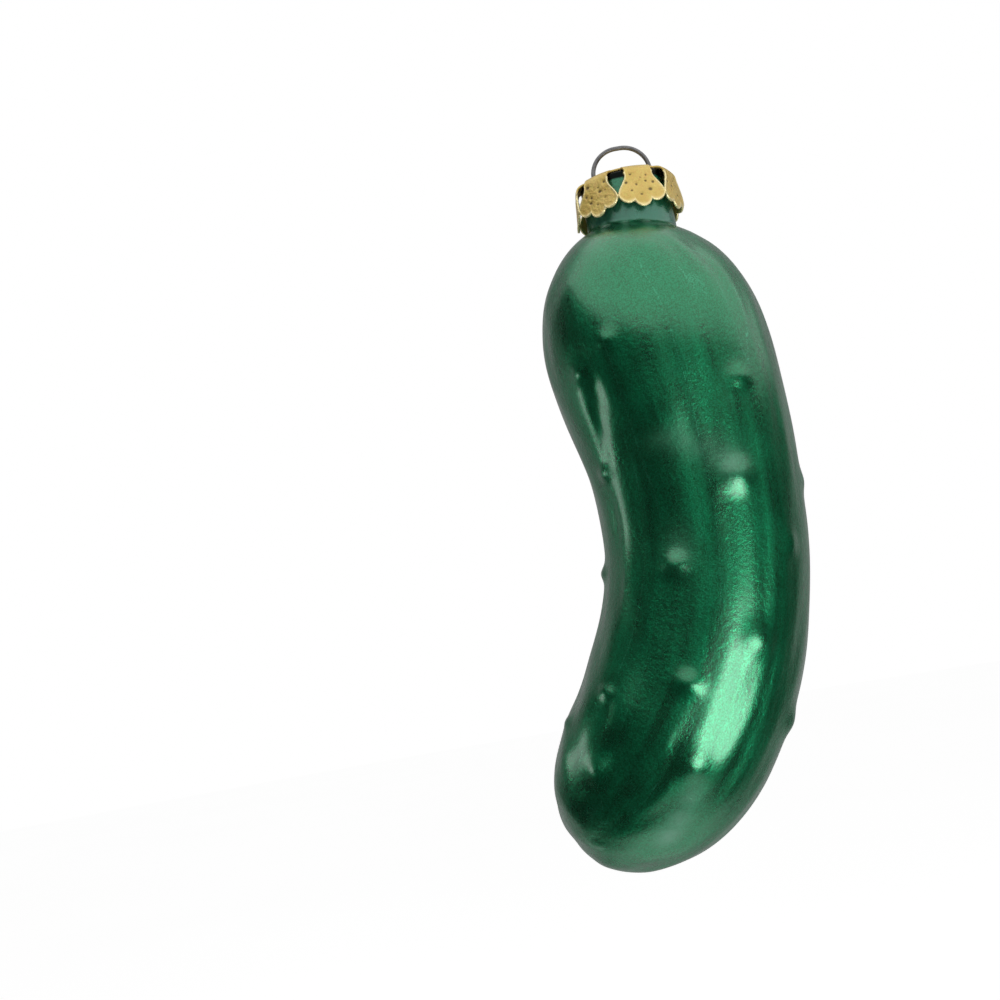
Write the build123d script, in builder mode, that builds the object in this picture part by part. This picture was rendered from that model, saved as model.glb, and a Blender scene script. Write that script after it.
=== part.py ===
"""Hanging pickle ornament: a hollow blown-glass pickle, silvered inside, with a
stamped metal cap on its neck and a spring-wire hanger through the cap.

Millimetres. The origin is the point where a hook bears, the underside of the
hanger's loop. +Z runs up the axis of the neck, the pickle bends towards -X, and
its front faces -Y.
"""

from build123d import *

import os
from math import asin, cos, degrees, pi, radians, sin

os.makedirs("parts", exist_ok=True)

# Hanger wire
wire_d = 0.64
hook_room = 4.6  # cap's top face to the underside of the loop
loop_flat = 0.7  # straight stretch at the top of the loop
hanger_pull = 3.0  # drawn up through the cap until the legs catch under the neck
leg_reach = 12.0  # length of the sprung part of a leg, measured down
leg_spread = 3.4  # how far a leg's end stands out from its straight part
leg_bend_r = 8.0

# Stamped cap
sheet_t = 0.3
cap_seat_gap = 0.18  # cap's underside to the rim of the neck
cap_neck_gap = 0.45  # skirt to the neck, all round
cap_shoulder_r = 1.5
skirt_flare = 0.85  # how much wider the skirt is at the petal tips
skirt_drop = 6.5  # cap's top face to the petal tips
wire_hole_gap = 0.18  # wire to the edge of its hole
petal_count = 7
petal_turn = 11.0  # degrees from the front to the nearest petal
petal_slit = 0.35  # between neighbours at their widest
window_w = 2.0  # between neighbours at their roots
petal_wide_share = 0.6  # where along its drop a petal is widest
petal_notch_share = 0.8  # where the side lobes meet the middle lobe
petal_notch_w = 2.4  # width of the middle lobe

# Glass neck
neck_d = 12.7
neck_length = 10.07  # rim to its foot in the wall of the body
glass_wall = 0.9
rim_round = 0.35
leg_clearance = 1.0  # straight leg to the bore of the neck

# Bent line that the body follows, from inside the neck to the tip
neck_offset = 1.83  # the neck stands this far to the right of the line
crown_drop = 6.69  # rim of the neck to the start of the line
tip_drop = 85.9
tip_reach = 22.1
tip_lean = 54.7  # degrees from straight down
top_pull = 23.6  # how far the bend starts straight down
tip_pull = 47.1  # how far it ends along the lean

# Round sections along that line
crown_d = 8.4  # at the start of the line, hidden by the neck
shoulder_length = 18.7
shoulder_d = 31.8
waist_d = 29.5
belly_d = 28.85
tail_d = 28.75
tail_length = 21.5
waist_share = 0.29  # places between shoulder and tail
belly_share = 0.84
section_count = 26

# Warts: share of the way down the body's flank, degrees round from the front
wart_rise = 0.6
large_wart_d = 4.6
middle_wart_d = 3.7
small_wart_d = 2.8
large_warts = [
    (0.42, 14), (0.305, 28), (0.765, 13), (0.845, -29),
    (0.47, 150), (0.635, -135), (0.33, -155), (0.78, 170),
]
middle_warts = [
    (0.525, -24), (0.67, -11), (0.61, 24), (0.735, -50), (0.235, -50),
    (0.43, 76), (0.53, -92), (0.81, -80), (0.68, 70), (0.31, 95),
    (0.56, 112), (0.42, -122), (0.58, -172), (0.71, 125), (0.83, 75), (0.86, -140),
]
small_warts = [
    (0.375, -62), (0.21, -31), (0.50, 45), (0.36, 135), (0.26, 165),
    (0.29, -110), (0.49, -150), (0.63, 160), (0.81, 125),
]

# Silvering, a thick stand-in for a film of a few thousandths
film_t = 0.15
film_gap = 0.05

# Levels and radii that follow
cap_top = -hook_room
cap_under = cap_top - sheet_t
petal_tip = cap_top - skirt_drop
neck_rim = cap_under - cap_seat_gap
neck_foot = neck_rim - neck_length
body_top = neck_rim - crown_drop
neck_r = neck_d / 2
bore_r = neck_r - glass_wall
wire_r = wire_d / 2
leg_x = bore_r - leg_clearance - wire_r
skirt_top_r = neck_r + cap_neck_gap + sheet_t
skirt_tip_r = skirt_top_r + skirt_flare


# Bent centre line of the body
tip_level = body_top - tip_drop
lean_x = tip_pull * sin(radians(tip_lean))
lean_z = tip_pull * cos(radians(tip_lean))
with BuildLine(Plane.XZ) as bend:
    Bezier(
        (-neck_offset, body_top),
        (-neck_offset, body_top - top_pull),
        (lean_x - tip_reach, tip_level + lean_z),
        (-tip_reach, tip_level),
    )
spine = bend.edge()
spine_length = spine.length

# Profile of the body as if it were straight: X along the line, Y the radius
middle_length = spine_length - shoulder_length - tail_length
crown_angle = degrees(asin(crown_d / shoulder_d))
with BuildLine() as straight_profile:
    shoulder = EllipticalCenterArc(
        (shoulder_length, 0),
        shoulder_length / cos(radians(crown_angle)),
        shoulder_d / 2,
        start_angle=180 - crown_angle,
        arc_size=crown_angle - 90,
    )
    tail = EllipticalCenterArc(
        (spine_length - tail_length, 0),
        tail_length,
        tail_d / 2,
        start_angle=90,
        arc_size=-90,
    )
    Spline(
        shoulder @ 1,
        (shoulder_length + waist_share * middle_length, waist_d / 2),
        (shoulder_length + belly_share * middle_length, belly_d / 2),
        tail @ 0,
        tangents=[(1, 0), (1, 0)],
    )
flank = straight_profile.wire()


def section_plane(distance):
    """Plane square to the bent line, at a distance along it, with X to the back."""
    share = distance / spine_length
    return Plane(origin=spine @ share, x_dir=(0, 1, 0), z_dir=spine % share)


def flank_point(share, inset=0.0):
    """Distance along the line and radius at a share of the flank, drawn in by inset."""
    point = flank @ share
    along = flank % share
    return point.X + inset * along.Y, point.Y - inset * along.X


def body_form(inset):
    """Solid of the bent body, its surface drawn in by inset all over."""
    with BuildPart() as form:
        sections = []
        for index in range(section_count):
            distance, radius = flank_point(index / section_count, inset)
            with BuildSketch(section_plane(distance), mode=Mode.PRIVATE) as section:
                Circle(radius)
            sections.append(section.sketch)
        end_distance, _ = flank_point(1, inset)
        sections.append(Vertex(spine @ (end_distance / spine_length)))
        loft(sections)
    return form.part


def wart_centres(places, wart_d):
    """Radius and centres of the balls that stand out of the flank as warts."""
    ball_r = ((wart_d / 2) ** 2 + wart_rise**2) / (2 * wart_rise)
    centres = []
    for share, turn in places:
        distance, radius = flank_point(share, ball_r - wart_rise)
        outward = Vector(-radius, 0).rotate(Axis.Z, -turn)
        centres.append(section_plane(distance).from_local_coords(outward))
    return ball_r, centres


# Glass: body with warts, and the neck, blown hollow in one wall
outer_form = body_form(0)
hollow_form = body_form(glass_wall)
with BuildPart() as glass_body:
    add(outer_form)
    for places, wart_d in (
        (large_warts, large_wart_d),
        (middle_warts, middle_wart_d),
        (small_warts, small_wart_d),
    ):
        ball_r, centres = wart_centres(places, wart_d)
        with Locations(*centres):
            Sphere(ball_r)
    with BuildSketch(Plane.XZ):
        with Locations((bore_r, neck_foot)):
            Rectangle(glass_wall, neck_length, align=(Align.MIN, Align.MIN))
        fillet(vertices().group_by(Axis.Y)[-1], rim_round)
    revolve(axis=Axis.Z)
    add(hollow_form, mode=Mode.SUBTRACT)
    with BuildSketch(Plane.XY.offset(body_top)):
        Circle(bore_r)
    extrude(amount=neck_foot - body_top, mode=Mode.SUBTRACT)
glass_body.part.label = "glass_body"
export_step(glass_body.part, "parts/glass_body.step")

# Silvering inside the body, open at the neck
film_face = body_form(glass_wall + film_gap)
film_back = body_form(glass_wall + film_gap + film_t)
with BuildPart() as silver_lining:
    add(film_face)
    add(film_back, mode=Mode.SUBTRACT)
    with BuildSketch(Plane.XY.offset(body_top)):
        Circle(bore_r)
    extrude(amount=neck_foot - body_top, mode=Mode.SUBTRACT)
silver_lining.part.label = "silver_lining"
export_step(silver_lining.part, "parts/silver_lining.step")

# One petal's outline, carried straight out from the axis towards the front
root_half = skirt_top_r * sin(pi / petal_count) - window_w / 2
skirt_wide_r = skirt_top_r + petal_wide_share * skirt_flare
wide_half = skirt_wide_r * sin(pi / petal_count) - petal_slit / 2
fold = cap_top - cap_shoulder_r
petal_drop = fold - petal_tip
wide_level = fold - petal_wide_share * petal_drop
notch_level = fold - petal_notch_share * petal_drop
with BuildPart() as petal:
    with BuildSketch(Plane.XZ):
        with BuildLine():
            Line((0, cap_top + sheet_t), (root_half, cap_top + sheet_t))
            Line((root_half, cap_top + sheet_t), (root_half, fold))
            Spline((root_half, fold), (wide_half, wide_level), tangents=[(0, -1), (0, -1)])
            TangentArc((wide_half, wide_level), (petal_notch_w / 2, notch_level), tangent=(0, -1))
            TangentArc((0, petal_tip), (petal_notch_w / 2, notch_level), tangent=(1, 0))
            mirror(about=Plane.YZ)
        make_face()
    extrude(amount=skirt_tip_r + sheet_t)

# What is left of the sheet when the cap is stamped out: the crown and its petals
with BuildPart() as blank:
    with BuildSketch(Plane.XY.offset(petal_tip)):
        Circle(skirt_top_r - cap_shoulder_r / 2)
    extrude(amount=skirt_drop + sheet_t)
    with PolarLocations(0, petal_count, start_angle=petal_turn):
        add(petal.part)

# Cap: a thin skirted dish, stamped, with two holes for the wire
with BuildPart() as cap:
    with BuildSketch(Plane.XZ):
        with BuildLine():
            outside = FilletPolyline(
                (0, cap_top), (skirt_top_r, cap_top), (skirt_tip_r, petal_tip), radius=cap_shoulder_r
            )
            inside = FilletPolyline(
                (0, cap_under),
                (skirt_top_r - sheet_t, cap_under),
                (skirt_tip_r - sheet_t, petal_tip),
                radius=cap_shoulder_r - sheet_t,
            )
            Line(outside @ 0, inside @ 0)
            Line(outside @ 1, inside @ 1)
        make_face()
    revolve(axis=Axis.Z)
    add(blank.part, mode=Mode.INTERSECT)
    with BuildSketch(Plane.XY.offset(cap_top)):
        with Locations((-leg_x, 0), (leg_x, 0)):
            Circle(wire_r + wire_hole_gap)
    extrude(amount=-2 * sheet_t, mode=Mode.SUBTRACT)
cap.part.label = "cap"
export_step(cap.part, "parts/cap.step")

# Hanger: one wire, up through the cap, over in a loop and down again
loop_top = wire_r
bend_level = neck_foot - hanger_pull
leg_end = bend_level - leg_reach
loop_r = leg_x - loop_flat / 2
with BuildPart() as hanger:
    with BuildLine(Plane.XZ) as wire_path:
        FilletPolyline(
            (-leg_x - leg_spread, leg_end),
            (-leg_x, bend_level),
            (-leg_x, loop_top),
            (leg_x, loop_top),
            (leg_x, bend_level),
            (leg_x + leg_spread, leg_end),
            radius=[leg_bend_r, loop_r, loop_r, leg_bend_r],
        )
    with BuildSketch(Plane(origin=wire_path.line @ 0, z_dir=wire_path.line % 0)):
        Circle(wire_r)
    sweep()
hanger.part.label = "hanger"
export_step(hanger.part, "parts/hanger.step")
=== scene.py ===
# %% [markdown]
# # A glass pickle to hang on a tree
# The ornament is one blown bubble of glass, silvered inside and lacquered a satin green. A thin
# gold cap with lobed petals sits on its neck, and a spring-wire loop goes through the cap.
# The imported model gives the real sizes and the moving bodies. This lesson makes the surfaces,
# finishes, light and camera around it.

import math

import bpy
import numpy as np
from mathutils import Matrix, Vector


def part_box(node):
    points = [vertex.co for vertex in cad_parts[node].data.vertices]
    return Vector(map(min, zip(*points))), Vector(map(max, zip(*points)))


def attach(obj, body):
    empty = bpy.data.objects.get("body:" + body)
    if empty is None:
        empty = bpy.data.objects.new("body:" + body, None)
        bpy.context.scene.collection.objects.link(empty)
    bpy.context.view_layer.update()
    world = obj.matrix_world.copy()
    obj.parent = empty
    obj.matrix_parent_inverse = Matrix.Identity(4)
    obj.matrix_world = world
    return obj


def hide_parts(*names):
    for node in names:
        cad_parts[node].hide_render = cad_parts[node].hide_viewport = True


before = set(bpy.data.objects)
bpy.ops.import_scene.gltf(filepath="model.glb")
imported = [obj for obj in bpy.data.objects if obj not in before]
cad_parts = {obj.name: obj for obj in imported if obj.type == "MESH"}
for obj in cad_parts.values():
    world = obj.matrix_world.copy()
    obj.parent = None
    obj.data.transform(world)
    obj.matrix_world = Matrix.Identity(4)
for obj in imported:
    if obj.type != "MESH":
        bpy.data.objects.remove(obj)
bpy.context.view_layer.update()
MM = 0.001  # the shapes below are worked out in millimetres
scene = bpy.context.scene

# %% [markdown]
# ## Camera
# The camera stands in front, a little below the middle of the pickle and looking slightly up, with
# the picture turned so that the neck leans to the left of upright. The lens and the distance come
# from the scale: about seven pixels of a thousand-pixel picture to each millimetre.

# %% Camera
picture_px = 1000
px_per_mm = 7.05
focal_px = 1400.0
origin_px = (617.5, 150.7)  # where the underside of the loop falls in the picture
roll, pitch = math.radians(9.6), math.radians(6.5)
middle_drop = 50.0  # from the loop down to the level where the scale holds
reach = focal_px / px_per_mm + middle_drop * math.sin(pitch)

ahead = Vector((0, math.cos(pitch), math.sin(pitch)))
level_right, level_up = Vector((1, 0, 0)), Vector((0, -math.sin(pitch), math.cos(pitch)))
right = level_right * math.cos(roll) - level_up * math.sin(roll)
upward = level_right * math.sin(roll) + level_up * math.cos(roll)
aside = reach * (picture_px / 2 - origin_px[0]) / focal_px
above = reach * (origin_px[1] - picture_px / 2) / focal_px

camera_data = bpy.data.cameras.new("camera")
camera_data.sensor_width = 36.0
camera_data.lens = camera_data.sensor_width * focal_px / picture_px
camera_data.clip_start = 0.01
camera_data.clip_end = 20.0
camera = bpy.data.objects.new("camera", camera_data)
camera_place = (right * aside + upward * above - ahead * reach) * MM
camera_axes = Matrix((right, upward, -ahead)).transposed().to_4x4()
camera.matrix_world = Matrix.Translation(camera_place) @ camera_axes
scene.collection.objects.link(camera)
scene.camera = camera
print("camera at", tuple(round(v, 4) for v in camera_place), "lens", round(camera_data.lens, 2))

# %% [markdown]
# ## From arrays to meshes
# Every new piece is a grid of points. A grid of vertex numbers says which points make each
# four-sided face, so the same few lines serve a body that closes on itself and an open petal.
# A closed end is a fan of triangles round one pole, which leaves no hole and no seam.

# %% Helpers for meshes
def quads(numbers, wrap=False):
    """Faces of a grid of vertex numbers: each cell's own corner, the one below, the one below and
    beside, and the one beside. With wrap, the last column joins the first. Rows that run down and
    columns that run to the right give faces that look towards the viewer."""
    if wrap:
        numbers = np.concatenate([numbers, numbers[:, :1]], axis=1)
    near, far = numbers[:-1], numbers[1:]
    return np.stack([near[:, :-1], far[:, :-1], far[:, 1:], near[:, 1:]], axis=-1).reshape(-1, 4)


def fan(pole, ring):
    """Triangles from one pole to each pair of neighbours on a closed ring."""
    return np.stack([np.full(len(ring), pole), ring, np.roll(ring, -1)], axis=-1)


def new_mesh(name, points_mm, faces, material):
    """Smooth-shaded mesh object from points in millimetres and blocks of faces."""
    mesh = bpy.data.meshes.new(name)
    corners = [face for block in faces for face in block.tolist()]
    mesh.from_pydata((points_mm * MM).tolist(), [], corners)
    mesh.polygons.foreach_set("use_smooth", np.ones(len(corners), dtype=bool))
    mesh.materials.append(material)
    mesh.update()
    made = bpy.data.objects.new(name, mesh)
    scene.collection.objects.link(made)
    print(name, "points", len(mesh.vertices), "faces", len(mesh.polygons))
    return made


def add_attribute(piece, name, values):
    """Number or vector on every point of a piece, for its material to read."""
    kind, field = ("FLOAT", "value") if values.ndim == 1 else ("FLOAT_VECTOR", "vector")
    layer = piece.data.attributes.new(name, kind, "POINT")
    layer.data.foreach_set(field, np.ascontiguousarray(values, dtype=np.float32).ravel())


def smooth_step(value):
    """Zero below 0, one above 1, and a smooth rise between them."""
    held = np.clip(value, 0, 1)
    return held * held * (3 - 2 * held)


# %% [markdown]
# ## Shared texture groups
# Lacquer, sheet metal, wire and floor all vary a little from place to place. One node group gives
# that mottling, from soft clouds to fine grain by its Scale, and another gives hairlines: thin
# threads where a slow noise crosses its middle value. Each material places them with its own values.

# %% Node helpers and the shared groups
def add_node(tree, kind, settings=None, values=None):
    """New node of a kind, with its settings and its input sockets' values by name."""
    made = tree.nodes.new(kind)
    for key, value in (settings or {}).items():
        setattr(made, key, value)
    for key, value in (values or {}).items():
        made.inputs[key].default_value = value
    return made


def math_node(tree, operation, *sources, clamp=False):
    """Math node over sockets or numbers: its output."""
    made = add_node(tree, "ShaderNodeMath", {"operation": operation, "use_clamp": clamp})
    for index, source in enumerate(sources):
        if isinstance(source, (int, float)):
            made.inputs[index].default_value = source
        else:
            tree.links.new(source, made.inputs[index])
    return made.outputs[0]


def new_group(name, inputs):
    """Shader group with a Vector input, number inputs and a Value output, and a noise that reads
    its Vector and Scale."""
    tree = bpy.data.node_groups.new(name, "ShaderNodeTree")
    tree.interface.new_socket("Vector", in_out="INPUT", socket_type="NodeSocketVector")
    for key, value in inputs.items():
        socket = tree.interface.new_socket(key, in_out="INPUT", socket_type="NodeSocketFloat")
        socket.default_value = value
    tree.interface.new_socket("Value", in_out="OUTPUT", socket_type="NodeSocketFloat")
    come, go = tree.nodes.new("NodeGroupInput"), tree.nodes.new("NodeGroupOutput")
    noise = add_node(tree, "ShaderNodeTexNoise", values={"Detail": 3.0})
    for key in ("Vector", "Scale"):
        tree.links.new(come.outputs[key], noise.inputs[key])
    return tree, come, go, noise.outputs["Fac"]


def make_mottle_group():
    """Noise, stretched about its middle by Contrast and kept between 0 and 1."""
    tree, come, go, noise = new_group("mottle", {"Scale": 100.0, "Contrast": 1.6})
    centred = math_node(tree, "SUBTRACT", noise, 0.5)
    spread = math_node(tree, "MULTIPLY_ADD", centred, come.outputs["Contrast"], 0.5, clamp=True)
    tree.links.new(spread, go.inputs["Value"])
    return tree


def make_hairline_group():
    """One where a noise crosses its middle value, falling to zero at Width on both sides."""
    tree, come, go, noise = new_group("hairlines", {"Scale": 60.0, "Width": 0.004})
    off_middle = math_node(tree, "ABSOLUTE", math_node(tree, "SUBTRACT", noise, 0.5))
    share = math_node(tree, "DIVIDE", off_middle, come.outputs["Width"])
    tree.links.new(math_node(tree, "SUBTRACT", 1.0, share, clamp=True), go.inputs["Value"])
    return tree


mottle_group = make_mottle_group()
hairline_group = make_hairline_group()
print("groups", mottle_group.name, hairline_group.name)


# %% Material helpers
def new_material(name, constants):
    """Material with a Principled shader, whose even values are set on its own sockets."""
    material = bpy.data.materials.new(name)
    material.use_nodes = True
    shader = material.node_tree.nodes["Principled BSDF"]
    for key, value in constants.items():
        shader.inputs[key].default_value = value
    return material, material.node_tree, shader


def place_group(tree, group, vector, values):
    """Shared group placed in a material: its Value output."""
    made = add_node(tree, "ShaderNodeGroup", {"node_tree": group}, values)
    tree.links.new(vector, made.inputs["Vector"])
    return made.outputs["Value"]


def blend_colours(tree, factor, first, second):
    """Colour between two colours or colour sockets, by a factor socket."""
    mix = add_node(tree, "ShaderNodeMix", {"data_type": "RGBA"})
    tree.links.new(factor, mix.inputs["Factor"])
    ends = [socket for socket in mix.inputs if socket.type == "RGBA"]
    for socket, colour in zip(ends, (first, second)):
        if isinstance(colour, tuple):
            socket.default_value = (*colour, 1.0)
        else:
            tree.links.new(colour, socket)
    return next(socket for socket in mix.outputs if socket.type == "RGBA")


def between(tree, factor, low, high, start=0.0, stop=1.0):
    """Number that runs from low to high as the factor runs from start to stop."""
    ends = {"From Min": start, "From Max": stop, "To Min": low, "To Max": high}
    ramp = add_node(tree, "ShaderNodeMapRange", values=ends)
    tree.links.new(factor, ramp.inputs["Value"])
    return ramp.outputs["Result"]


def raise_bump(tree, shader, height, strength, depth_mm):
    """Bump from a height socket into the shader's Normal."""
    bump = add_node(tree, "ShaderNodeBump", values={"Strength": strength, "Distance": depth_mm * MM})
    tree.links.new(height, bump.inputs["Height"])
    tree.links.new(bump.outputs["Normal"], shader.inputs["Normal"])


def read_attribute(tree, name, output):
    """Attribute of the piece, as a socket."""
    return add_node(tree, "ShaderNodeAttribute", {"attribute_name": name}).outputs[output]


# %% [markdown]
# ## Satin green glass
# The colour is a clear green lacquer over silver. The silver below is satin, so it reflects like a
# blurred green metal, and the lacquer's own skin adds a fainter, sharper, colourless reflection.
# The lacquer was sprayed and wiped along the pickle: streaks run down its length, clouds of thicker
# colour lie between them, and hairlines show its age. The pattern follows the bend because it reads
# where each point would lie if the pickle were straight. The neck has less silver behind it, so it
# is half paint: paler and duller than the body. Its top is kept darker and more metallic as painted
# shade under the petals, the bare glass just below the rim is painted near black as the shade under
# the cap, and milky worn patches also carry a painted reflection.

# %% Green glass material
def make_green_glass():
    """Green metal under a clear coat, streaked along the straightened pickle."""
    constants = {"Coat Roughness": 0.25, "Coat IOR": 1.6, "Specular IOR Level": 0.0}
    material, tree, shader = new_material("satin_green_glass", constants)
    straight = read_attribute(tree, "straight", "Vector")
    bare, cut, worn = (read_attribute(tree, name, "Fac") for name in ("bare", "cut", "worn"))
    drawn = add_node(tree, "ShaderNodeMapping", values={"Scale": (1.0, 1.0, 0.06)})
    tree.links.new(straight, drawn.inputs["Vector"])
    streaks = place_group(tree, mottle_group, drawn.outputs["Vector"], {"Scale": 600.0, "Contrast": 2.2})
    clouds = place_group(tree, mottle_group, straight, {"Scale": 140.0, "Contrast": 1.8})
    patches = place_group(tree, mottle_group, straight, {"Scale": 260.0, "Contrast": 3.0})
    frost = place_group(tree, mottle_group, straight, {"Scale": 1500.0, "Contrast": 1.6})
    flakes = place_group(tree, mottle_group, straight, {"Scale": 5200.0, "Contrast": 4.0})
    lines = place_group(tree, hairline_group, drawn.outputs["Vector"], {"Scale": 70.0, "Width": 0.004})

    soft = math_node(tree, "MULTIPLY_ADD", clouds, 0.3, math_node(tree, "MULTIPLY", patches, 0.2))
    depth = math_node(tree, "MULTIPLY_ADD", streaks, 0.5, soft)
    colour = blend_colours(tree, depth, (0.0005, 0.1, 0.024), (0.002, 0.21, 0.075))
    colour = blend_colours(tree, math_node(tree, "MULTIPLY", flakes, 0.5), colour, (0.015, 0.4, 0.19))
    # Milky wear and painted reflection: a paler, less metallic green in the worn ovals.
    milky = math_node(tree, "MULTIPLY", worn, between(tree, frost, 0.6, 1.0))
    colour = blend_colours(tree, milky, colour, (0.1, 0.28, 0.18))
    broken = math_node(tree, "MULTIPLY", math_node(tree, "MULTIPLY", lines, patches), flakes)
    colour = blend_colours(tree, math_node(tree, "MULTIPLY", broken, 0.4), colour, (0.12, 0.7, 0.42))
    # Neck colour by its bare share: the darker, more metallic top of the neck is painted shade under the
    # petals.
    colour = blend_colours(tree, bare, colour, (0.04, 0.2, 0.13))
    # Painted shade: the bare glass just below the rim is made near black, fully metallic and with little
    # coat, as the shade under the cap.
    colour = blend_colours(tree, cut, colour, (0.002, 0.004, 0.003))
    tree.links.new(colour, shader.inputs["Base Color"])
    silver = math_node(tree, "MULTIPLY", between(tree, bare, 0.88, 0.65), between(tree, milky, 1.0, 0.5))
    silvered = math_node(tree, "ADD", silver, cut, clamp=True)
    tree.links.new(silvered, shader.inputs["Metallic"])
    tree.links.new(between(tree, cut, 1.0, 0.1), shader.inputs["Coat Weight"])
    tree.links.new(between(tree, depth, 0.24, 0.42, 0.25, 0.75), shader.inputs["Roughness"])
    grain = math_node(tree, "MULTIPLY_ADD", frost, 1.3, math_node(tree, "MULTIPLY", flakes, 0.2))
    height = math_node(tree, "MULTIPLY_ADD", streaks, 0.5, grain)
    raise_bump(tree, shader, height, 1.0, 0.04)
    return material


green_glass = make_green_glass()
print("material", green_glass.name)

# %% [markdown]
# ## The bent line and the profile
# A pickle is a row of circles along a bent line. The line is a cubic Bezier curve, straight down at
# the top and leaning at the tip. The radius along it is an ellipse's arc at the shoulder, a smooth
# polynomial through waist and belly, and a quarter ellipse at the tail, the same sizes as the solid.
# Every point is worked out as if the pickle were straight, and bent at the end.

# %% Bent line of the glass, in millimetres
neck_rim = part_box("glass_body")[1].z / MM
neck_r, neck_offset, crown_drop, glass_wall = 6.35, 1.83, 6.69, 0.9
body_top = neck_rim - crown_drop
tip_drop, tip_reach, tip_lean = 85.9, 22.1, math.radians(54.7)
top_pull, tip_pull = 23.6, 47.1


def bent_line(count=4000):
    """Distances, places and directions along the cubic Bezier curve of the body, in the XZ plane."""
    start, tip = np.array([-neck_offset, body_top]), np.array([-tip_reach, body_top - tip_drop])
    lean = tip_pull * np.array([math.sin(tip_lean), math.cos(tip_lean)])
    corners = np.array([start, start - [0, top_pull], tip + lean, tip])
    t = np.linspace(0, 1, count)[:, None]
    weights = np.hstack([(1 - t) ** 3, 3 * t * (1 - t) ** 2, 3 * t**2 * (1 - t), t**3])
    points = weights @ corners
    distance = np.concatenate([[0], np.cumsum(np.linalg.norm(np.diff(points, axis=0), axis=1))])
    direction = np.gradient(points, distance, axis=0)
    return distance, points, direction / np.linalg.norm(direction, axis=1, keepdims=True)


line_distance, line_points, line_direction = bent_line()
line_length = line_distance[-1]


def bend(straight):
    """Points of the straightened pickle (side, depth, distance down) set round the bent line: the
    line's place at that distance, plus the side along the line's own normal. Above its start the
    line runs straight up."""
    side, depth, distance = np.moveaxis(straight, -1, 0)
    on_line = np.clip(distance, 0, line_length)
    over = distance - on_line
    centre_x, centre_z = (np.interp(on_line, line_distance, line_points[:, axis]) for axis in (0, 1))
    along_x, along_z = (np.interp(on_line, line_distance, line_direction[:, axis]) for axis in (0, 1))
    x = centre_x + over * along_x - side * along_z
    z = centre_z + over * along_z + side * along_x
    return np.stack([x, depth, z], axis=-1)


print("length along the bend", round(line_length, 2))

# %% Profile of the glass
crown_r, shoulder_length, shoulder_r = 4.2, 18.7, 15.9
waist_r, belly_r, tail_r, tail_length = 14.75, 14.425, 14.375, 21.5
waist_share, belly_share = 0.29, 0.84
crown_angle = math.asin(crown_r / shoulder_r)
dome_length = shoulder_length / math.cos(crown_angle)


def dome_distance(radius):
    """Distance down the line where the shoulder has a radius, by the ellipse of dome length and
    shoulder radius about the place of the full shoulder."""
    return shoulder_length - dome_length * np.sqrt(1 - (radius / shoulder_r) ** 2)


def middle_radius(share):
    """Radius between shoulder and tail: the quintic with level ends that passes the shoulder, waist,
    belly and tail radii at their shares of the way."""
    powers = np.arange(6)
    places = np.array([0, waist_share, belly_share, 1])
    level_ends = np.array([powers == 1, powers], dtype=float)
    system = np.vstack([places[:, None] ** powers, level_ends])
    factors = np.linalg.solve(system, [shoulder_r, waist_r, belly_r, tail_r, 0, 0])
    return (share[:, None] ** powers) @ factors


def outer_profile():
    """Distance and radius from the crown to the tip: shoulder, middle and tail, each a run of points."""
    dome_radius = shoulder_r * np.sin(np.linspace(crown_angle, np.pi / 2, 110))
    shoulder = [dome_distance(dome_radius), dome_radius]
    share = np.linspace(0, 1, 150)[1:]
    middle_length = line_length - shoulder_length - tail_length
    middle = [shoulder_length + middle_length * share, middle_radius(share)]
    fall = np.linspace(0, np.pi / 2, 80)[1:]
    tail = [line_length - tail_length * (1 - np.sin(fall)), tail_r * np.cos(fall)]
    return np.concatenate([np.stack(part, axis=-1) for part in (shoulder, middle, tail)])


profile = outer_profile()
flank = np.concatenate([[0], np.cumsum(np.linalg.norm(np.diff(profile, axis=0), axis=1))])
flank_length = flank[-1]
slope = np.gradient(profile, flank, axis=0)
slope /= np.linalg.norm(slope, axis=1, keepdims=True)
print("profile rows", len(profile), "flank length", round(flank_length, 2))

# %% [markdown]
# ## Neck
# The neck stands a little to the right of the bent line, so its foot cuts the shoulder askew. Rings
# about the neck's own axis run down to that cut, turn out through a hollow corner, and then slide
# over to the line, so that one grid serves neck and body.

# %% Rings of the neck
turn = np.linspace(0, 2 * np.pi, 200, endpoint=False)
bore_r, rim_round = neck_r - glass_wall, 0.35
neck_fillet, joined_r = 0.6, 10.0  # corner at the neck's foot, and where the rings are round the line
first_row = np.argmax(profile[:, 1] >= joined_r)


def ring(distance, radius, centre=0.0):
    """Rings of the straightened pickle: side is the centre plus the radius times the sine of the
    turn, depth is minus the radius times its cosine, both at a distance down the line."""
    side, depth = centre + radius * np.sin(turn), -radius * np.cos(turn)
    return np.stack(np.broadcast_arrays(side, depth, distance), axis=-1)


def dome_ring(radius, centre):
    """Rings that lie on the shoulder, each point at the distance that its place off the line gives."""
    made = ring(0.0, radius, centre)
    made[..., 2] = dome_distance(np.hypot(made[..., 0], made[..., 1]))
    return made


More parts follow.
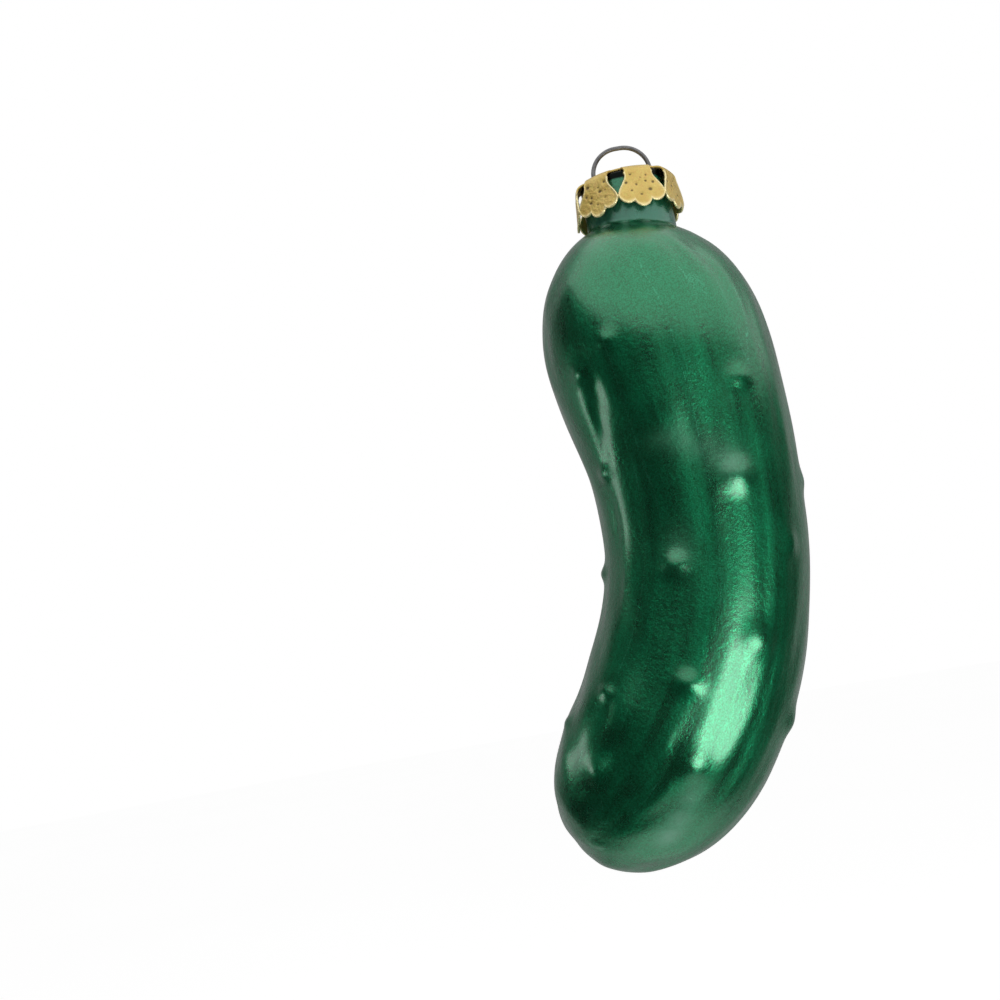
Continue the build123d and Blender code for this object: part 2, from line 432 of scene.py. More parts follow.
def neck_rings():
    """Rings from the rim down to the shoulder, and how bare of silver each is, least at the rim and the
    top of the neck as painted shade under the petals: a quarter round, the straight neck, a quadratic
    curve through the corner, and rings that slide across the shoulder."""
    quarter = np.linspace(0, np.pi / 2, 9)[:, None]
    rim_r = neck_r - rim_round * (1 - np.sin(quarter))
    rim = ring(rim_round * (1 - np.cos(quarter)) - crown_drop, rim_r, neck_offset)
    foot, low = (dome_ring(radius, neck_offset)[..., 2] for radius in (neck_r, neck_r + neck_fillet))
    top, down = rim_round - crown_drop, np.linspace(0, 1, 24)[1:, None]
    neck = ring(top + (foot - neck_fillet - top) * down, neck_r, neck_offset)
    s = np.linspace(0, 1, 9)[1:, None]
    corner_distance = (1 - s) ** 2 * (foot - neck_fillet) + 2 * s * (1 - s) * foot + s**2 * low
    corner = ring(corner_distance, neck_r + neck_fillet * s**2, neck_offset)
    q = np.linspace(0, 1, 13)[1:-1, None]
    slide_r = neck_r + neck_fillet + (joined_r - neck_r - neck_fillet) * q
    slide = dome_ring(slide_r, neck_offset * (1 - q))
    # Less bare towards the rim: painted shade under the petals, darker and more metallic green.
    painted = 0.4 + 0.6 * smooth_step((down[:, 0] - 0.56) / 0.24)
    bare = [np.zeros(len(rim)), painted, 1 - smooth_step(s[:, 0]), np.zeros(len(slide))]
    return np.concatenate([rim, neck, corner, slide]), np.concatenate(bare)


collar, collar_bare = neck_rings()
print("neck rings and columns", collar.shape[:2])

# %% [markdown]
# ## Warts and waves
# Warts are soft bells on the flank, a little longer above than below, so the light breaks off at
# their lower side. The glass between them isn't true either: it is creased in the hollow of the
# bend, swells towards the tip, and slow waves and fine ripples left by the blowing run down its
# length. All of them push the surface in or out along its own normal, before it is bent.

# %% Relief of the glass
# A place is a share of the way down the flank and the degrees round it from the front.
wart_rise = 0.6
large_warts = [
    (0.42, 14), (0.61, 24), (0.765, 13), (0.845, -29),
    (0.47, 150), (0.635, -135), (0.33, -155), (0.78, 170),
]
middle_warts = [
    (0.525, -24), (0.68, -7), (0.235, -50),
    (0.53, -92), (0.68, 70), (0.31, 95),
    (0.56, 112), (0.42, -122), (0.58, -172), (0.71, 125), (0.86, -140),
]
small_warts = [
    (0.83, 108), (0.735, -50), (0.375, -62), (0.21, -31), (0.50, 45), (0.36, 135), (0.26, 165),
    (0.29, -110), (0.49, -150), (0.63, 160), (0.81, 125), (0.305, 28), (0.81, -80), (0.43, 76),
]
# Half size of each kind and its share of the full rise.
wart_sizes = ((large_warts, 2.3, 1.1), (middle_warts, 1.7, 1.0), (small_warts, 1.4, 0.6))
# Place, half length, half width and height of each crease (below nought) or swelling.
swells = [
    (0.262, -47, 4.5, 1.5, -0.45), (0.30, -52, 3.5, 1.1, -0.3), (0.345, -56, 3.0, 1.0, -0.16),
    (0.45, -62, 4.0, 1.0, -0.14), (0.55, -61, 4.0, 0.9, -0.12), (0.762, -43, 2.6, 0.8, -0.2),
    (0.80, -30, 2.6, 0.8, -0.2), (0.83, -24, 2.2, 0.8, -0.16), (0.76, -92, 5.0, 7.0, -0.6),
    (0.90, -85, 6.0, 8.0, 0.75), (0.757, -6, 1.6, 0.5, 0.1), (0.777, -2, 1.6, 0.5, 0.1),
    (0.80, 7, 1.8, 0.5, 0.1),
]


def bell(down_flank, radius, at, degrees, half_length, half_width):
    """Soft oval on the flank: the exponential of minus the squared distance from its place, over
    its half length down the flank and its half width round it."""
    down = (down_flank - at * flank_length) / half_length
    aside = radius * ((turn - math.radians(degrees) + np.pi) % (2 * np.pi) - np.pi) / half_width
    return np.exp(-(down**2) - aside**2)


def wart_relief(down_flank, radius):
    """Sum of bells, each a little shorter below its wart than above, and the long bells of
    creases, below nought, and swellings, above it."""
    relief = np.zeros((len(down_flank), len(turn)))
    for places, size, share_of_rise in wart_sizes:
        for at, degrees in places:
            length = np.where(down_flank > at * flank_length, 0.85 * size, size)
            relief += wart_rise * share_of_rise * bell(down_flank, radius, at, degrees, length, size)
    for *oval, height in swells:
        relief += height * bell(down_flank, radius, *oval)
    return relief


def wave_relief(straight, seed, waves, lengths, height, draw_out):
    """Sum of sine waves over the straightened pickle, of seeded directions, lengths and phases. A
    draw_out below 1 turns the waves across the pickle, so that they run down its length."""
    draw = np.random.default_rng(seed)
    heading = draw.normal(size=(waves, 3)) * np.array([1.0, 1.0, draw_out])
    heading /= np.linalg.norm(heading, axis=1, keepdims=True)
    length = draw.uniform(*lengths, waves)
    phase = draw.uniform(0, 2 * np.pi, waves)
    angle = straight @ (heading / length[:, None]).T * 2 * np.pi + phase
    return height * np.sin(angle).sum(axis=-1)


print("warts", sum(len(places) for places, *_ in wart_sizes), "creases and swellings", len(swells))

# %% Worn places and painted reflection
# Place, half length, half width and strength of each milky patch. The patches are worn lacquer and
# painted reflection: the run of five high on the front paints the pale smear reflected by a wart's
# upper slope, and the others are paler milky patches.
worn_places = [
    (0.355, -16, 1.7, 3.0, 0.5), (0.367, -8, 1.7, 3.0, 0.55), (0.378, -1, 1.7, 3.0, 0.6),
    (0.392, 7, 1.8, 2.6, 0.7), (0.405, 12, 1.8, 2.2, 0.8), (0.50, -22, 3.0, 2.2, 0.4),
    (0.80, 22, 2.2, 1.6, 0.8), (0.827, 25, 2.2, 1.6, 0.9), (0.852, 30, 2.2, 1.8, 1.0),
    (0.53, 160, 8.0, 5.0, 0.7),
]


def worn_share(down_flank, radius):
    """How milky the lacquer is, 0 to 1, as wear and as painted reflection: the strongest of a few soft
    ovals.
    """
    ovals = [strength * bell(down_flank, radius, *oval) for *oval, strength in worn_places]
    return np.max(ovals, axis=0)


print("worn places", len(worn_places))

# %% Glass body piece
# The bare glass band below the rim is painted near black as the shade under the cap.
cut_edge = 1.1  # bare glass below the rim of the neck


def lining_rings(count=60):
    """Rings from the inner tip up to the rim: the flank drawn in by the wall, the bore of the neck
    and the rim's inner round."""
    rows = np.linspace(len(profile) - 2, first_row, count).astype(int)
    wall = profile[rows] + glass_wall * slope[rows][:, ::-1] * [1, -1]
    bore_foot = dome_ring(bore_r, neck_offset) + [0, 0, glass_wall]
    quarter = np.linspace(0, np.pi / 2, 6)[:, None]
    rim_r = bore_r + rim_round * (1 - np.cos(quarter))
    rim = ring(rim_round * (1 - np.sin(quarter)) - crown_drop, rim_r, neck_offset)
    return np.concatenate([ring(wall[:, :1], wall[:, 1:]), bore_foot[None], rim])


def make_glass():
    """Inner wall from the inner tip up to the rim, and outer skin with its relief from the rim down
    to the tip, as one closed grid with a pole at each end."""
    distance, radius = profile[first_row:-1, :1], profile[first_row:-1, 1:]
    down, run, rise = flank[first_row:-1, None], slope[first_row:-1, :1], slope[first_row:-1, 1:]
    relief = wart_relief(down, radius)
    smooth_skin = ring(distance, radius)
    relief += wave_relief(smooth_skin, seed=11, waves=9, lengths=(10, 24), height=0.03, draw_out=0.6)
    relief += wave_relief(smooth_skin, seed=3, waves=9, lengths=(4, 9), height=0.026, draw_out=0.2)
    relief += wave_relief(smooth_skin, seed=5, waves=7, lengths=(2.2, 4.5), height=0.009, draw_out=0.05)
    relief *= smooth_step((down - down[0]) / 4.0) * smooth_step((flank_length - down) / 4.0)
    skin = ring(distance - relief * rise, radius + relief * run)

    lining = lining_rings()
    grid = np.concatenate([lining, collar, skin])
    numbers = np.arange(grid.size // 3).reshape(grid.shape[:2])
    poles = [[0, 0, line_length - glass_wall], [0, 0, line_length]]
    straight = np.concatenate([grid.reshape(-1, 3), poles])
    ends = [fan(numbers.size, numbers[0]), fan(numbers.size + 1, numbers[-1])[:, ::-1]]
    piece = new_mesh("pickle_glass", bend(straight), [quads(numbers, wrap=True), *ends], green_glass)

    bare, worn = np.zeros((2, *numbers.shape))
    bare[len(lining) : -len(skin)] = collar_bare[:, None]
    worn[-len(skin) :] = worn_share(down, radius)
    for name, share in (("bare", bare), ("worn", worn)):
        add_attribute(piece, name, np.append(share, [0, 0]))
    # The cut band below the rim carries the painted shade under the cap.
    add_attribute(piece, "cut", smooth_step((cut_edge - crown_drop - straight[:, 2]) / 0.1))
    add_attribute(piece, "straight", straight * MM)
    return piece


glass = make_glass()
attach(glass, "glass")
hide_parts("glass_body")

# %% [markdown]
# ## Silvering
# The mirror inside the glass can't be seen through the lacquer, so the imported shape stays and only
# takes a finish: dull silver with the clouds that such a chemical film dries to.

# %% Silvering
def make_silvering():
    """Silver mirror, clouded by the mottle group."""
    material, tree, shader = new_material("clouded_silver", {"Metallic": 1.0})
    place = add_node(tree, "ShaderNodeTexCoord").outputs["Object"]
    clouds = place_group(tree, mottle_group, place, {"Scale": 160.0, "Contrast": 2.0})
    colour = blend_colours(tree, clouds, (0.78, 0.78, 0.76), (0.92, 0.92, 0.9))
    tree.links.new(colour, shader.inputs["Base Color"])
    tree.links.new(between(tree, clouds, 0.1, 0.25), shader.inputs["Roughness"])
    return material


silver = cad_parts["silver_lining"]
silver.data.materials.clear()
silver.data.materials.append(make_silvering())
print("silvering on", silver.name)

# %% [markdown]
# ## Gold lacquered sheet
# The cap is thin sheet, stamped and then lacquered gold. Lacquer over a matt sheet scatters part of
# the light, so the metal is only part metallic. Punched dots hold brown tarnish with painted shade
# in their hollows, and the turned edges are rubbed bright with painted glints. Both are read from
# numbers that the mesh carries.

# %% Gold sheet material
def make_gold_sheet():
    """Pebbled gold lacquer, brown with tarnish and painted shade in the punched dents, and bright with
    wear and painted glints on the rubbed edges.
    """
    material, tree, shader = new_material("gold_lacquered_sheet", {"Metallic": 0.55, "Coat Weight": 0.3})
    place = add_node(tree, "ShaderNodeTexCoord").outputs["Object"]
    dent = read_attribute(tree, "dent", "Fac")
    rubbed = read_attribute(tree, "rubbed", "Fac")
    pebble = place_group(tree, mottle_group, place, {"Scale": 2400.0, "Contrast": 2.4})
    clouds = place_group(tree, mottle_group, place, {"Scale": 420.0, "Contrast": 2.2})
    colour = blend_colours(tree, clouds, (0.6, 0.46, 0.1), (0.82, 0.66, 0.2))
    colour = blend_colours(tree, math_node(tree, "MULTIPLY", pebble, 0.6), colour, (0.74, 0.44, 0.14))
    # Painted glint: the petal edges are coloured pale bright gold, partly wear and partly glints of the
    # lamp below.
    colour = blend_colours(tree, rubbed, colour, (1.0, 0.86, 0.45))
    # Painted shade: the punched dots are coloured dark brown, partly tarnish and partly the shade in
    # their hollows.
    colour = blend_colours(tree, between(tree, dent, 0.0, 1.0, 0.25, 0.6), colour, (0.2, 0.14, 0.045))
    tree.links.new(colour, shader.inputs["Base Color"])
    polish = math_node(tree, "MULTIPLY", rubbed, 0.2)
    rough = math_node(tree, "SUBTRACT", between(tree, pebble, 0.38, 0.54), polish)
    tree.links.new(rough, shader.inputs["Roughness"])
    raise_bump(tree, shader, pebble, 0.9, 0.06)
    return material


gold_sheet = make_gold_sheet()
print("material", gold_sheet.name)

# %% [markdown]
# ## Stamped cap
# The cap is a shallow dish whose skirt is cut into seven lobed petals, with teardrop windows between
# their roots. A lathe could turn the dish but not cut the lobes, so the crown is a polar grid, and
# each petal is a patch stretched between four edges: its root, two flaring sides and a lobed foot.
# Crown and petals share the points along each root. The sheet then gets its thickness.

# %% Sizes and section of the cap, in millimetres
cap_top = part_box("cap")[1].z / MM
sheet_t, cap_shoulder_r = 0.3, 1.5
skirt_top_r, skirt_tip_r, skirt_drop = 7.1, 7.95, 6.5
petal_count, petal_turn = 7, math.radians(11.0)
petal_slit, window_w = 0.35, 2.3
petal_wide_share, petal_notch_share, petal_notch_half = 0.6, 0.8, 1.2
root_r = 5.9  # the windows reach up to the flat of the crown
root_half = skirt_top_r * math.sin(math.pi / petal_count) - window_w / 2
skirt_wide_r = skirt_top_r + petal_wide_share * (skirt_tip_r - skirt_top_r)
petal_flat = 0.7  # 0 leaves the petals round with the skirt, 1 makes them flat
sector_half = math.pi / petal_count
wide_share = math.sin(sector_half) + petal_flat * (math.tan(sector_half) - math.sin(sector_half))
wide_half = skirt_wide_r * wide_share - petal_slit / 2


def cap_section(count=60):
    """Run, radius and level along the dish's outside: level top, rounded shoulder, flared skirt."""
    flare = math.atan2(skirt_tip_r - skirt_top_r, skirt_drop)
    bend_angle = np.linspace(0, np.pi / 2 - flare, count)
    flat_r = skirt_top_r - cap_shoulder_r * math.tan(bend_angle[-1] / 2)
    radius = flat_r + cap_shoulder_r * np.sin(bend_angle)
    level = cap_top - cap_shoulder_r * (1 - np.cos(bend_angle))
    radius = np.concatenate([[0], radius, [skirt_tip_r]])
    level = np.concatenate([[cap_top], level, [cap_top - skirt_drop]])
    run = np.concatenate([[0], np.cumsum(np.hypot(np.diff(radius), np.diff(level)))])
    return run, radius, level


cap_run, cap_radius, cap_level = cap_section()
root_run = np.interp(root_r, cap_radius[:-1], cap_run[:-1])
fold_run = np.interp(cap_shoulder_r, cap_top - cap_level[1:], cap_run[1:])
petal_drop = cap_run[-1] - fold_run
print("cap run to root, fold and tip", [round(float(v), 2) for v in (root_run, fold_run, cap_run[-1])])


# %% Outline of one petal
def even_points(points, count):
    """Points at even steps along a line of points."""
    run = np.concatenate([[0], np.cumsum(np.linalg.norm(np.diff(points, axis=0), axis=1))])
    steps = np.linspace(0, run[-1], count)
    return np.stack([np.interp(steps, run, points[:, axis]) for axis in (0, 1)], axis=-1)


def petal_side(count):
    """Right side of a petal from its root: straight to the fold, then a smooth step out to the
    widest place. Columns are half width and run below the root."""
    to_fold = fold_run - root_run
    to_wide = to_fold + petal_wide_share * petal_drop
    down = np.linspace(0, to_wide, 200)
    half = root_half + (wide_half - root_half) * smooth_step((down - to_fold) / (to_wide - to_fold))
    return even_points(np.stack([half, down], axis=-1), count)


def petal_foot(count):
    """Lower edge of a petal from left to right: an arc in to the notch, the middle lobe's arc down
    to the tip, and the same again mirrored."""
    shares = (petal_wide_share, petal_notch_share, 1.0)
    wide, notch, tip = (fold_run - root_run + share * petal_drop for share in shares)
    inward, down = wide_half - petal_notch_half, notch - wide
    side_r = (inward**2 + down**2) / (2 * inward)
    side_angle = np.linspace(0, math.atan2(down, side_r - inward), 60)
    side_half = wide_half - side_r * (1 - np.cos(side_angle))
    side = np.stack([side_half, wide + side_r * np.sin(side_angle)], axis=-1)
    low_r = (petal_notch_half**2 + (tip - notch) ** 2) / (2 * (tip - notch))
    low_angle = np.linspace(math.atan2(petal_notch_half, low_r - (tip - notch)), 0, 60)[1:]
    low = np.stack([low_r * np.sin(low_angle), tip - low_r * (1 - np.cos(low_angle))], axis=-1)
    right_half = np.concatenate([side, low])
    left_half = right_half[:-1] * [-1, 1]
    return even_points(np.concatenate([left_half, right_half[::-1]]), count)


def petal_patch(rows, columns):
    """Points of a flat petal between its root, sides and foot: the blend of the two sides, plus the
    blend of root and foot, less the blend of the four corners."""
    side, foot = petal_side(rows), petal_foot(columns)
    a = np.linspace(0, 1, columns)[None, :, None]
    b = np.linspace(0, 1, rows)[:, None, None]
    root = np.stack([np.linspace(-root_half, root_half, columns), np.zeros(columns)], axis=-1)
    left, right_side = side[:, None] * [-1, 1], side[:, None]
    corners = (1 - a) * ((1 - b) * root[0] + b * foot[0]) + a * ((1 - b) * root[-1] + b * foot[-1])
    return (1 - a) * left + a * right_side + (1 - b) * root[None] + b * foot[None] - corners


patch = petal_patch(50, 51)
print("petal patch", patch.shape, "width", round(float(np.ptp(patch[..., 0])), 2))


# %% Punched dots and wire holes
hole_r, leg_x = 0.5, 4.13
dot_places = [
    (-1.3, 2.4), (1.3, 2.6), (0.1, 3.1), (-2.0, 3.7), (1.9, 3.8),
    (0.8, 3.8), (-0.8, 4.1), (-1.2, 4.9), (1.2, 4.9), (0.0, 5.5),
]


def petal_dots(across, down, draw):
    """Depth of the punched dots on one petal, 0 to 1: a small bell at each place, nudged and drawn
    out a little by chance."""
    depth = np.zeros(across.shape)
    for dot_x, dot_down in dot_places:
        nudge_x, nudge_down = draw.normal(0, 0.14, 2)
        size = draw.uniform(0.14, 0.27)
        longer = draw.uniform(0.6, 1.0)
        apart = ((across - dot_x - nudge_x) * longer) ** 2 + (down - dot_down - nudge_down) ** 2
        depth = np.maximum(depth, draw.uniform(0.5, 1.0) * np.exp(-apart / size**2))
    return depth


def round_hole(crown, radius, turns, side):
    """Wire hole on the right (1) or left (-1) of the crown's polar grid: the edge of a block of cells
    is moved on to a circle about the wire. Gives the block's rows and columns of cells."""
    centre = np.array([side * leg_x, 0, cap_top])
    away = (turns - side * np.pi / 2 + np.pi) % (2 * np.pi) - np.pi
    order = np.argsort(away)
    low = order[np.searchsorted(away[order], -hole_r / leg_x) - 1]
    columns = (low + np.arange(len(turns))) % len(turns)
    columns = columns[: np.argmax(away[columns] >= hole_r / leg_x) + 1]
    first = np.searchsorted(radius, leg_x - hole_r) - 1
    last = np.searchsorted(radius, leg_x + hole_r)
    block = np.ix_(np.arange(first, last + 1), columns)
    from_hole = crown[block] - centre
    edge = np.zeros(from_hole.shape[:2], dtype=bool)
    edge[[0, -1]] = edge[:, [0, -1]] = True
    far = np.linalg.norm(from_hole, axis=-1, keepdims=True)
    moved = centre + from_hole * hole_r / np.maximum(far, 1e-6)
    crown[block] = np.where(edge[..., None], moved, crown[block])
    return np.ix_(np.arange(first, last), columns[:-1])


print("dots on a petal", len(dot_places), "wire holes across", 2 * hole_r)

# %% Cap piece
petal_lean, edge_roll, dot_depth = 0.45, 0.07, 0.16


def petal_surface(centre, draw):
    """Points of one petal, the depth of its dots and how near its edge they lie. The patch is laid
    down the dish's section, flattened below its root, leant in by chance, rolled out at its edge and
    pushed in at its dots."""
    across, down = patch[..., 0], patch[..., 1]
    run = root_run + down
    at_r, at_z = np.interp(run, cap_run, cap_radius), np.interp(run, cap_run, cap_level)
    dots = petal_dots(across, down, draw)
    b = np.linspace(0, 1, patch.shape[0])[:, None]
    a = np.abs(np.linspace(-1, 1, patch.shape[1]))[None, :]
    margin = np.minimum((1 - b) * 5.0, (1 - a) * 3.0 + 2.0 * (1 - smooth_step(b * 2.5)))
    edge = np.exp(-((margin / 0.22) ** 2))
    lean = draw.uniform(-petal_lean, 0.0) * (down / down.max()) ** 2
    fall_back = at_r - np.sqrt(at_r**2 - across**2)
    rounded = fall_back * (1 - petal_flat * smooth_step(b * 4))
    out = at_r - rounded + lean + edge_roll * edge - dot_depth * dots
    x = out * math.sin(centre) + across * math.cos(centre)
    y = across * math.sin(centre) - out * math.cos(centre)
    return np.stack([x, y, at_z], axis=-1), dots, edge


def make_cap(window_columns=16):
    """Crown as a polar grid with two round wire holes, and petals hung from its edge."""
    draw = np.random.default_rng(23)
    centres = petal_turn + np.arange(petal_count) * 2 * np.pi / petal_count
    root_turn = np.arcsin(patch[0, :, 0] / root_r)
    gap = 2 * np.pi / petal_count - 2 * root_turn[-1]
    window_turn = root_turn[-1] + gap * np.arange(1, window_columns) / window_columns
    sector = np.concatenate([root_turn, window_turn])
    turns = (centres[:, None] + sector[None, :]).ravel()

    runs = np.concatenate([np.linspace(0.4, cap_run[1], 26), [root_run]])
    radius = np.interp(runs, cap_run, cap_radius)[:, None]
    level = np.interp(runs, cap_run, cap_level)[:, None]
    x, y = radius * np.sin(turns), -radius * np.cos(turns)
    crown = np.stack(np.broadcast_arrays(x, y, level), axis=-1)
    numbers = np.arange(crown.size // 3).reshape(crown.shape[:2])
    keep = np.ones((len(runs) - 1, len(turns)), dtype=bool)
    for side in (1, -1):
        keep[round_hole(crown, radius[:, 0], turns, side)] = False

    points, faces = [crown.reshape(-1, 3)], [quads(numbers, wrap=True)[keep.ravel()]]
    # The dot mask carries tarnish and painted shade, the edge mask wear and painted glints.
    dent, rubbed = [np.zeros(numbers.size)], [np.zeros(numbers.size)]
    count = numbers.size
    for index, centre in enumerate(centres):
        petal, dots, edge = petal_surface(centre, draw)
        root = numbers[-1, index * len(sector) + np.arange(patch.shape[1])]
        own = count + np.arange(dots[1:].size).reshape(-1, patch.shape[1])
        points.append(petal[1:].reshape(-1, 3))
        faces.append(quads(np.concatenate([root[None], own])))
        dent.append(dots[1:].ravel())
        rubbed.append(edge[1:].ravel())
        count += own.size
    points.append(np.array([[0, 0, cap_top]]))
    faces.append(fan(count, numbers[0]))
    piece = new_mesh("petal_cap", np.concatenate(points), faces, gold_sheet)
    add_attribute(piece, "dent", np.concatenate([*dent, [0.0]]))
    add_attribute(piece, "rubbed", np.concatenate([*rubbed, [0.0]]))
    return piece


cap = make_cap()
wall = cap.modifiers.new("sheet", "SOLIDIFY")
wall.thickness = sheet_t * MM
wall.offset = -1.0
wall.use_even_offset = True
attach(cap, "cap")
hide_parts("cap")

# %% [markdown]
# ## Spring-wire hanger
# One wire comes up through the cap, goes over in a round loop and down again, and its two legs
# spring apart inside the pickle. It is a round section carried along straight runs and arcs in one
# plane, so a ring of points at each step of the path is enough.

# %% Steel wire material
def make_steel_wire():
    """Drawn grey steel, streaked round the wire and dulled in clouds."""
    material, tree, shader = new_material("drawn_steel_wire", {"Metallic": 0.85})
    place = add_node(tree, "ShaderNodeTexCoord").outputs["Object"]
    clouds = place_group(tree, mottle_group, place, {"Scale": 500.0, "Contrast": 2.0})
    lines = place_group(tree, hairline_group, place, {"Scale": 900.0, "Width": 0.03})
    colour = blend_colours(tree, clouds, (0.14, 0.14, 0.145), (0.26, 0.26, 0.265))
    colour = blend_colours(tree, math_node(tree, "MULTIPLY", lines, 0.4), colour, (0.1, 0.1, 0.1))
    tree.links.new(colour, shader.inputs["Base Color"])
    tree.links.new(between(tree, clouds, 0.35, 0.5), shader.inputs["Roughness"])
    raise_bump(tree, shader, lines, 0.2, 0.02)
    return material


steel_wire = make_steel_wire()
print("material", steel_wire.name)

# %% Hanger piece
wire_r, loop_flat = 0.32, 0.7
neck_length, hanger_pull = 10.07, 3.0
bend_level = neck_rim - neck_length - hanger_pull
leg_reach, leg_spread, leg_bend_r = 12.0, 3.4, 8.0


def rounded_route(corners, radii, step):
    """Points along straight runs whose corners are arcs: each arc touches both runs at the radius
    times the tangent of half the turn from the corner."""
    corners = np.array(corners, dtype=float)
    route = [corners[:1]]
    for before, corner, after, radius in zip(corners, corners[1:], corners[2:], radii):
        arrive = (corner - before) / np.linalg.norm(corner - before)
        leave = (after - corner) / np.linalg.norm(after - corner)
        turn = math.acos(float(np.clip(arrive @ leave, -1, 1)))
        cut = radius * math.tan(turn / 2)
        inward = (leave - arrive) / np.linalg.norm(leave - arrive)
        centre = corner + inward * radius / math.cos(turn / 2)
        start = corner - arrive * cut - centre
        angle = np.linspace(0, turn, max(4, int(radius * turn / step)))[:, None]
        route.append(centre + start * np.cos(angle) + arrive * radius * np.sin(angle))
    return np.concatenate([*route, corners[-1:]])


def make_hanger(columns=18):
    """Wire: a ring of points at each place of the route, turned square to it, closed by a small
    rounded end at both tips."""
    leg_end = bend_level - leg_reach
    corners = [
        (-leg_x - leg_spread, leg_end), (-leg_x, bend_level), (-leg_x, wire_r),
        (leg_x, wire_r), (leg_x, bend_level), (leg_x + leg_spread, leg_end),
    ]
    loop_r = leg_x - loop_flat / 2
    route = rounded_route(corners, [leg_bend_r, loop_r, loop_r, leg_bend_r], step=0.12)
    route = even_points(route, 420)
    along = np.gradient(route, axis=0)
    along /= np.linalg.norm(along, axis=1, keepdims=True)
    outward = np.stack([-along[:, 1], along[:, 0]], axis=-1)
    round_wire = np.linspace(0, 2 * np.pi, columns, endpoint=False)
    blunt = np.ones(len(route))
    blunt[[0, -1]] = 0.7
    aside = wire_r * blunt[:, None] * np.cos(round_wire)
    x = route[:, :1] + outward[:, :1] * aside
    z = route[:, 1:] + outward[:, 1:] * aside
    y = wire_r * blunt[:, None] * np.sin(round_wire)
    tube = np.stack([x, y, z], axis=-1).reshape(-1, 3)
    tips = np.stack([route[[0, -1], 0], [0, 0], route[[0, -1], 1]], axis=-1)
    numbers = np.arange(len(tube)).reshape(-1, columns)
    ends = [fan(len(tube), numbers[0]), fan(len(tube) + 1, numbers[-1])[:, ::-1]]
    faces = [quads(numbers, wrap=True), *ends]
    return new_mesh("wire_hanger", np.concatenate([tube, tips]), faces, steel_wire)


hanger = make_hanger()
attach(hanger, "hanger")
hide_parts("hanger")

# %% [markdown]
# ## Floor and screens
# A polished body shows its surroundings more than its own colour, so the room is part of the looks.
# A pale floor lies well below the hanging pickle. Dark screens stand in front and at the sides, as a
# photographer places black card round glass, and paler ones below: only reflections see them, so
# they darken the front of the pickle and leave the white room to light its top.

# %% Floor
def seen_ray(tree):
    """One for rays from the camera, in a reflection or through glass, and zero for light."""
    rays = add_node(tree, "ShaderNodeLightPath")
    seen = math_node(tree, "MAXIMUM", rays.outputs["Is Camera Ray"], rays.outputs["Is Glossy Ray"])
    return math_node(tree, "MAXIMUM", seen, rays.outputs["Is Transmission Ray"])


floor_level = -0.3
room_centre = np.array([0.0, 0.0, -0.05])


def make_floor_paint():
    """White matt paint with a faint mottle. What the camera and reflections see is lifted to white."""
    material, tree, shader = new_material("white_floor_paint", {"Specular IOR Level": 0.0})
    place = add_node(tree, "ShaderNodeTexCoord").outputs["Object"]
    clouds = place_group(tree, mottle_group, place, {"Scale": 3.0, "Contrast": 1.0})
    colour = blend_colours(tree, clouds, (0.93, 0.93, 0.93), (0.95, 0.95, 0.95))
    tree.links.new(colour, shader.inputs["Base Color"])
    tree.links.new(between(tree, clouds, 0.85, 0.95), shader.inputs["Roughness"])
    shader.inputs["Emission Color"].default_value = (1.0, 1.0, 1.0, 1.0)
    tree.links.new(between(tree, seen_ray(tree), 0.0, 0.47), shader.inputs["Emission Strength"])
    return material


def make_floor(reach=4.0, columns=64):
    """Flat round floor: rings of points about its middle."""
    turn = np.linspace(0, 2 * np.pi, columns, endpoint=False)
    radius = np.linspace(0.1, reach, 12)[:, None]
    x, y = radius * np.sin(turn), -radius * np.cos(turn)
    rings = np.stack(np.broadcast_arrays(x, y, floor_level), axis=-1)
    points = np.concatenate([rings.reshape(-1, 3), [[0, 0, floor_level]]]) / MM
    numbers = np.arange(rings.size // 3).reshape(-1, columns)
    faces = [quads(numbers, wrap=True), fan(len(points) - 1, numbers[0])]
    return new_mesh("floor", points, faces, make_floor_paint())


make_floor()


# %% Screens
def room_point(turn, lift, reach):
    """Place in the room: turn degrees from the camera's side towards the right, lift degrees up."""
    turn, lift = np.radians(turn), np.radians(lift)
    x, y = np.sin(turn) * np.cos(lift), -np.cos(turn) * np.cos(lift)
    way = np.stack(np.broadcast_arrays(x, y, np.sin(lift)), axis=-1)
    return room_centre + reach * way


def make_card(name, shade):
    """Matt card of one shade with a faint mottle."""
    material, tree, shader = new_material(name, {"Roughness": 1.0, "Specular IOR Level": 0.0})
    place = add_node(tree, "ShaderNodeTexCoord").outputs["Object"]
    clouds = place_group(tree, mottle_group, place, {"Scale": 12.0, "Contrast": 1.0})
    darker, lighter = (tuple([shade * share] * 3) for share in (0.9, 1.1))
    tree.links.new(blend_colours(tree, clouds, darker, lighter), shader.inputs["Base Color"])
    return material


def make_screen(name, turns, low, high, material, reach=0.2):
    """Curved card round the pickle between turns, whose lower and upper edges run through the given
    lifts at those turns. Only reflections see it."""
    turn = np.linspace(turns[0], turns[-1], 90)
    share = np.linspace(0, 1, 30)[:, None]
    upper, lower = np.interp(turn, turns, high), np.interp(turn, turns, low)
    points = room_point(turn, upper + (lower - upper) * share, reach)
    numbers = np.arange(points.size // 3).reshape(points.shape[:2])
    screen = new_mesh(name, points.reshape(-1, 3) / MM, [quads(numbers)], material)
    screen.visible_camera = screen.visible_diffuse = screen.visible_shadow = False
    screen.visible_transmission = screen.visible_volume_scatter = False


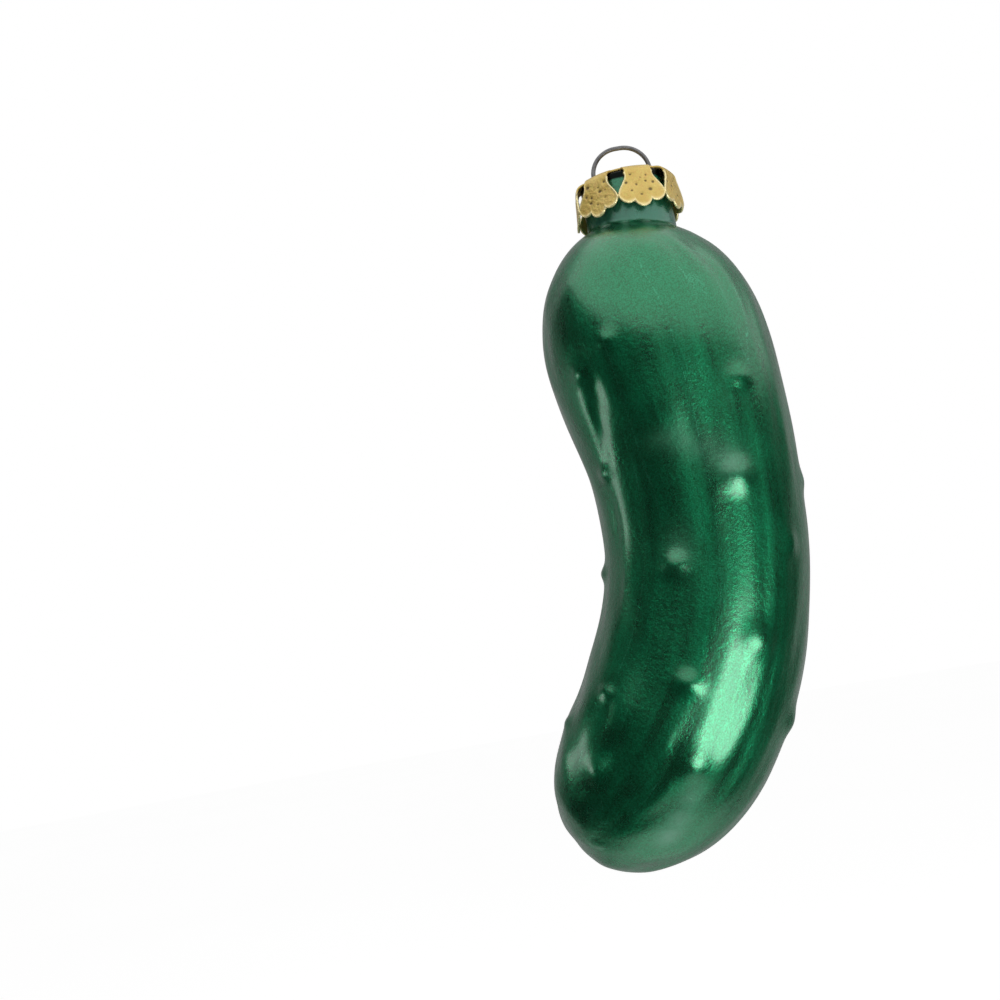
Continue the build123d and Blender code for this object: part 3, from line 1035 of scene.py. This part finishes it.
make_screen(
    "front_screen",
    turns=(-140, -133, -120, -112, -80, -62, -42, -15, 11, 43, 77, 108, 113),
    low=(1, -3, -20, -45, -60, -60, -60, -58, -56, -56, -60, -58, -30),
    high=(5, 9, 32, 48, 40, 29, 23, 16, 14, 13, 13, 14, 5),
    material=make_card("black_card", 0.015),
)
make_screen(
    "back_screen",
    turns=(110, 130, 170, 200, 242),
    low=(-60, -68, -70, -70, -55),
    high=(42, 58, 62, 62, 58),
    material=make_card("grey_card", 0.4),
)
low_screens = (("low", -62, -55, 0.4), ("lower", -70, -62, 0.7), ("lowest", -89, -70, 0.95))
for name, low, high, shade in low_screens:
    card = make_card(name + "_card", shade)
    make_screen(name + "_screen", turns=(-180, 180), low=(low, low), high=(high, high), material=card)

# %% [markdown]
# ## Light
# The world is plain white to the camera and in reflections, and a little dimmer as light, so that a
# colour renders about as it is written. A slanted oval lamp low on the right draws the pale mint
# glint down the belly, and a small dim one beside it clouds the glint's upper end. Another on the
# left picks out the creases, and a broad one overhead models the cap.

# %% World
world = bpy.data.worlds.new("white_room")
scene.world = world
world.use_nodes = True
sky = world.node_tree
background = sky.nodes["Background"]
background.inputs["Color"].default_value = (1.0, 1.0, 1.0, 1.0)
room_light = 0.55
sky.links.new(between(sky, seen_ray(sky), room_light, 1.0), background.inputs["Strength"])
print("world", world.name, "as light", room_light)


# %% Lamps
def make_lamp(name, turn, lift, reach, size, radiance, tilt=0.0, reflected=True):
    """Oval lamp that faces the pickle, tilted about its own axis. Its power is the radiance
    times pi times its area."""
    data = bpy.data.lights.new(name, "AREA")
    data.shape = "ELLIPSE"
    data.size, data.size_y = size
    data.energy = radiance * math.pi * (math.pi / 4 * size[0] * size[1])
    lamp = bpy.data.objects.new(name, data)
    place = Vector(room_point(turn, lift, reach))
    aim = (Vector(room_centre) - place).to_track_quat("-Z", "Y").to_matrix().to_4x4()
    lamp.matrix_world = Matrix.Translation(place) @ aim @ Matrix.Rotation(math.radians(tilt), 4, "Z")
    lamp.visible_glossy = reflected
    lamp.visible_camera = False
    scene.collection.objects.link(lamp)
    print("lamp", name, "watts", round(data.energy, 2))


make_lamp("belly_lamp", 32, -28, 0.17, (0.12, 0.105), 5.0, tilt=-46)
make_lamp("cloud_lamp", 10, -15, 0.18, (0.06, 0.07), 1.2)
make_lamp("side_lamp", -100, 1, 0.17, (0.055, 0.04), 2.4)
make_lamp("top_lamp", 10, 75, 0.5, (0.5, 0.5), 1.0, reflected=False)
scene.view_settings.view_transform = "Standard"
